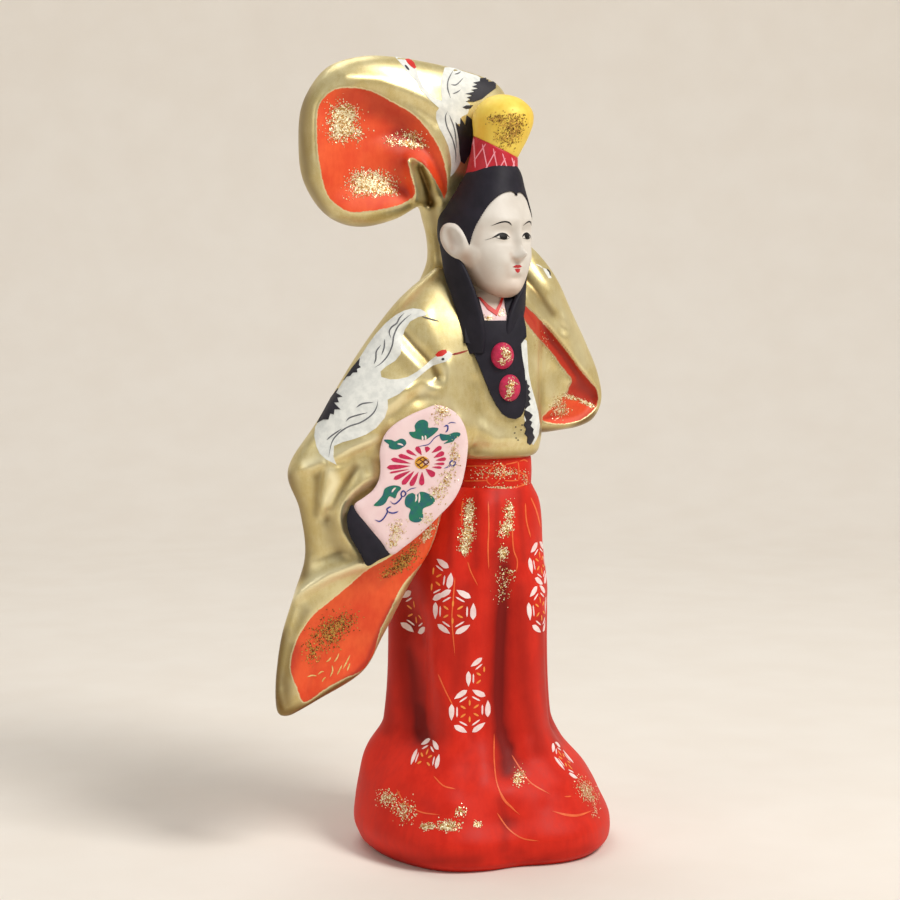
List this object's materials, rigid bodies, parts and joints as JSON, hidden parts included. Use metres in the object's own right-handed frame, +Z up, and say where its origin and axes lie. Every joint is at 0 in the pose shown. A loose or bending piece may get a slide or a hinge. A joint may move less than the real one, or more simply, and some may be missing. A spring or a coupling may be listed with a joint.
{
  "type": "painted clay dancer doll",
  "caption": "Standing painted clay doll of a dancer in a gold robe and red skirt, one sleeve thrown up behind the head, with a fan and a small cap.",
  "frame": {"origin": "middle of the flat base on the ground", "axes": "+Z up, the chest faces -Y, the doll's right hand is toward -X"},
  "size_m": [0.1382, 0.0931, 0.3004],
  "materials": {
    "gold_paint": "satin gold paint on fired clay",
    "red_paint": "satin red paint on fired clay",
    "orange_paint": "satin orange paint on fired clay",
    "black_paint": "satin black paint on fired clay",
    "white_gofun": "matte white shell paint on fired clay",
    "crimson_paint": "satin crimson paint with gold dust",
    "pink_paint": "matte pale pink paint with gold dust",
    "yellow_gold_paint": "glossy yellow-gold paint with gold dust",
    "bare_clay": "unpainted fired clay"
  },
  "bodies": {
    "root": {"skirt_front": "red_paint", "skirt_back": "red_paint", "base_plate": "bare_clay", "waistband": "red_paint", "face": "white_gofun", "hair": "black_paint", "cap_band": "crimson_paint", "cap_crown": "yellow_gold_paint", "robe_front": "gold_paint", "robe_back": "gold_paint", "neck": "white_gofun", "lock_right": "black_paint", "lock_left": "black_paint", "bib": "black_paint", "collar": "pink_paint", "under_collar": "red_paint", "pompom_upper": "crimson_paint", "pompom_lower": "crimson_paint", "left_sleeve": "gold_paint", "left_sleeve_lining": "orange_paint", "right_sleeve_front": "gold_paint", "right_sleeve_back": "gold_paint", "right_sleeve_lining": "orange_paint", "fan_leaf": "pink_paint", "fan_guard": "black_paint", "raised_sleeve_front": "gold_paint", "raised_sleeve_back": "gold_paint", "raised_sleeve_lining": "orange_paint"}
  },
  "joints": []
}
